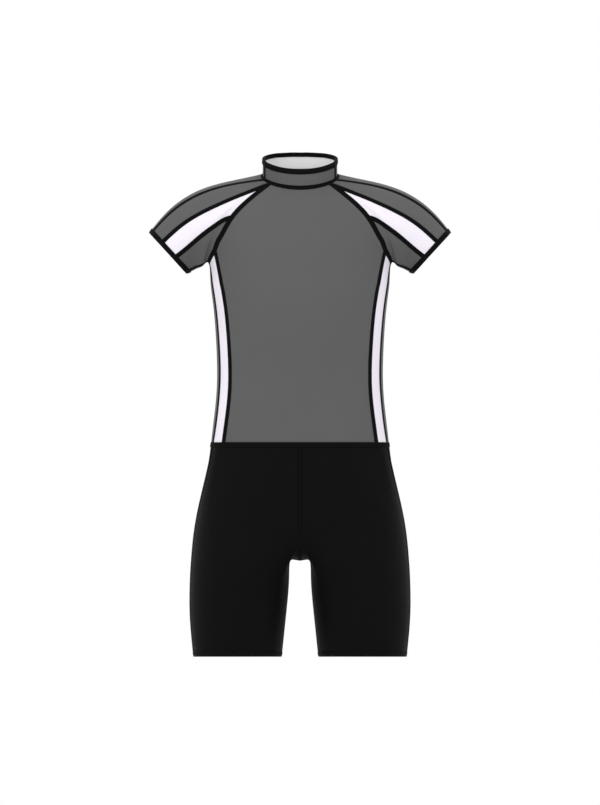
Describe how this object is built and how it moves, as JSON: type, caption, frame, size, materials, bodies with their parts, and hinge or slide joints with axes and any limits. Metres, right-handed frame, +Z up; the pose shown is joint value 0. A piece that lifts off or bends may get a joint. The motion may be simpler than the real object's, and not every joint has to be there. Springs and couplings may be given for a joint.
{
  "type": "unitard",
  "caption": "Short-sleeved raglan unitard with a stand-up collar, side and sleeve stripes, thigh-length shorts and a centre-back zip, filled out as worn.",
  "frame": {"origin": "centre of the neck base, level with the shoulder side of the neck seam", "axes": "+Z up towards the wearer's head, +X towards the wearer's left, -Y the way the front faces"},
  "size_m": [0.5286, 0.233, 0.883],
  "materials": {
    "grey_jersey": "matt knitted jersey with a faint sheen",
    "white_jersey": "matt knitted jersey, white with a touch of lavender",
    "black_jersey": "matt knitted jersey with a faint sheen",
    "white_lining": "matt knitted lining",
    "black_cover": "flatlock stitching",
    "black_binding": "folded elastic binding, stitched down",
    "zip_tape": "woven tape",
    "zip_plastic": "moulded nylon coil",
    "zip_metal": "satin black enamel"
  },
  "bodies": {
    "garment": {"back_left": "grey_jersey", "back_right": "grey_jersey", "centre_back_seam": "black_cover", "collar_back_left": "grey_jersey", "collar_back_right": "grey_jersey", "collar_binding": "black_binding", "collar_front": "grey_jersey", "collar_lining": "white_lining", "collar_seam_left": "black_cover", "collar_seam_right": "black_cover", "cuff_binding_left": "black_binding", "cuff_binding_right": "black_binding", "front_body": "grey_jersey", "inner_leg_seam": "black_cover", "leg_binding_left": "black_binding", "leg_binding_right": "black_binding", "neck_seam": "black_cover", "outer_leg_seam_left": "black_cover", "outer_leg_seam_right": "black_cover", "raglan_seam_left": "black_cover", "raglan_seam_right": "black_cover", "shorts_back_left": "black_jersey", "shorts_back_right": "black_jersey", "shorts_back_seam": "black_cover", "shorts_front_left": "black_jersey", "shorts_front_right": "black_jersey", "shorts_front_seam": "black_cover", "shoulder_seam_left": "black_cover", "shoulder_seam_right": "black_cover", "side_front_seam_left": "black_cover", "side_front_seam_right": "black_cover", "side_seam_left": "black_cover", "side_seam_right": "black_cover", "side_stripe_left": "white_jersey", "side_stripe_right": "white_jersey", "sleeve_back_left": "grey_jersey", "sleeve_back_right": "grey_jersey", "sleeve_lower_left": "grey_jersey", "sleeve_lower_right": "grey_jersey", "sleeve_stripe_left": "white_jersey", "sleeve_stripe_right": "white_jersey", "sleeve_upper_left": "grey_jersey", "sleeve_upper_right": "grey_jersey", "stripe_seam_lower_left": "black_cover", "stripe_seam_lower_right": "black_cover", "stripe_seam_upper_left": "black_cover", "stripe_seam_upper_right": "black_cover", "underarm_seam_left": "black_cover", "underarm_seam_right": "black_cover", "waist_seam": "black_cover", "zip_chain": "zip_plastic", "zip_slider": "zip_metal", "zip_stop": "zip_metal", "zip_tape_left": "zip_tape", "zip_tape_right": "zip_tape"},
    "pull_tab": {"pull_tab": "zip_metal"}
  },
  "joints": [
    {"name": "pull_tab_swing", "type": "hinge", "parent": "garment", "child": "pull_tab", "pos_m": [0, 0.06578, 0.03186], "axis": [1, 0, 0], "range_deg": [0, 135]}
  ]
}
